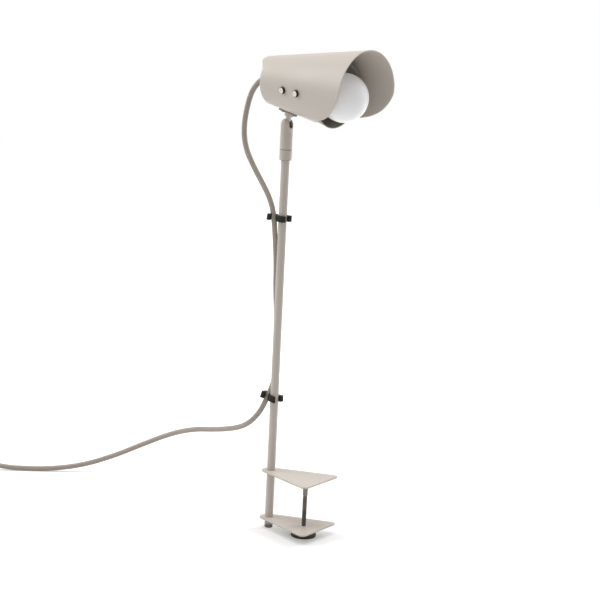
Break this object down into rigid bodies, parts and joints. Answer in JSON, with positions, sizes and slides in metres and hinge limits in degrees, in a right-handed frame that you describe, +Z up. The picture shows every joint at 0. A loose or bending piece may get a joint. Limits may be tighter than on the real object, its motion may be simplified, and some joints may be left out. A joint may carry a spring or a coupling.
{
  "type": "screw-clamp reading lamp",
  "caption": "Clamp-on reading lamp: conical hood with a scooped mouth on a ball swivel, thin post, screw clamp of drop-shaped plates, opal bulb and a corded switch and plug.",
  "frame": {"origin": "on the clamp screw's axis, at the underside of the upper clamp plate, which rests on the table top", "axes": "+Z up along the post, +X along the clamp plates from the post towards their wide end, +Y to the left of that"},
  "size_m": [0.7265, 0.2181, 0.6197],
  "materials": {
    "paint": "satin powder coat, warm light grey-beige",
    "paint_inside": "satin dark paint inside the cup",
    "screw_steel": "dark oiled steel with a rolled thread",
    "bright_steel": "bright zinc-plated steel",
    "black_plastic": "matt black plastic",
    "grey_plastic": "matt mid-grey plastic",
    "white_plastic": "matt white insulating plastic",
    "cord_plastic": "satin grey-beige plastic to match the cord",
    "cord": "woven textile sleeve, grey-beige",
    "brass": "plain brass",
    "bulb_cap": "bright aluminium screw cap",
    "opal": "opal white glass",
    "black_glass": "black insulating glass with a soldered end"
  },
  "bodies": {
    "stand": {"upper_plate": "paint", "lower_plate": "paint", "press_nut": "bright_steel", "post": "paint", "post_cap": "grey_plastic", "post_bush": "bright_steel", "friction_spring": "bright_steel", "collar": "paint", "cord_clips": "black_plastic", "cord_loop": "cord", "cord_post": "cord", "cord_lower": "cord", "cord_link": "cord", "cord_coil": "cord", "cord_tail": "cord", "switch_base": "cord_plastic", "switch_cover": "cord_plastic", "rocker_pin": "bright_steel", "plug_body": "cord_plastic", "plug_pins": "bright_steel"},
    "clamp_pad": {"pad": "bright_steel"},
    "clamp_screw": {"screw_rod": "screw_steel", "knob": "black_plastic"},
    "barrel": {"barrel": "paint", "ball_seat": "white_plastic", "cord_head": "cord"},
    "head": {"ball_stud": "paint", "bracket_plate": "paint", "bracket_screws": "screw_steel", "hood": "paint", "inner_cup": "paint_inside", "side_screws": "bright_steel", "side_spacers": "bright_steel", "screw_nuts": "bright_steel", "lamp_holder": "white_plastic", "holder_contact": "brass", "bulb_cap": "bulb_cap", "bulb_base": "black_glass", "bulb_globe": "opal", "cord_bushing": "black_plastic"},
    "rocker": {"switch_rocker": "cord_plastic"}
  },
  "joints": [
    {"name": "clamp_travel", "type": "slide", "parent": "stand", "child": "clamp_pad", "axis": [0, 0, 1], "range_m": [-0.039, 0.001]},
    {"name": "clamp_turn", "type": "hinge", "parent": "clamp_pad", "child": "clamp_screw", "pos_m": [0, 0, -0.06], "axis": [0, 0, 1], "continuous": true},
    {"name": "head_swivel", "type": "hinge", "parent": "stand", "child": "barrel", "pos_m": [-0.0545, 0, 0.42], "axis": [0, 0, 1], "range_deg": [-150, 150], "deforming": ["cord_head", "cord_loop"]},
    {"name": "head_tilt", "type": "hinge", "parent": "barrel", "child": "head", "pos_m": [-0.0545, 0, 0.4435], "axis": [0.0894, 0.996, 0], "range_deg": [-12, 75], "deforming": ["cord_head", "cord_loop"]},
    {"name": "switch_rock", "type": "hinge", "parent": "stand", "child": "rocker", "pos_m": [-0.51925, -0.07954, -0.0642], "axis": [0.5795, -0.815, 0], "range_deg": [0, 16]}
  ],
  "couplings": [
    {"joint": "clamp_turn", "follows": "clamp_travel", "rad_per_m": 6283.2}
  ]
}
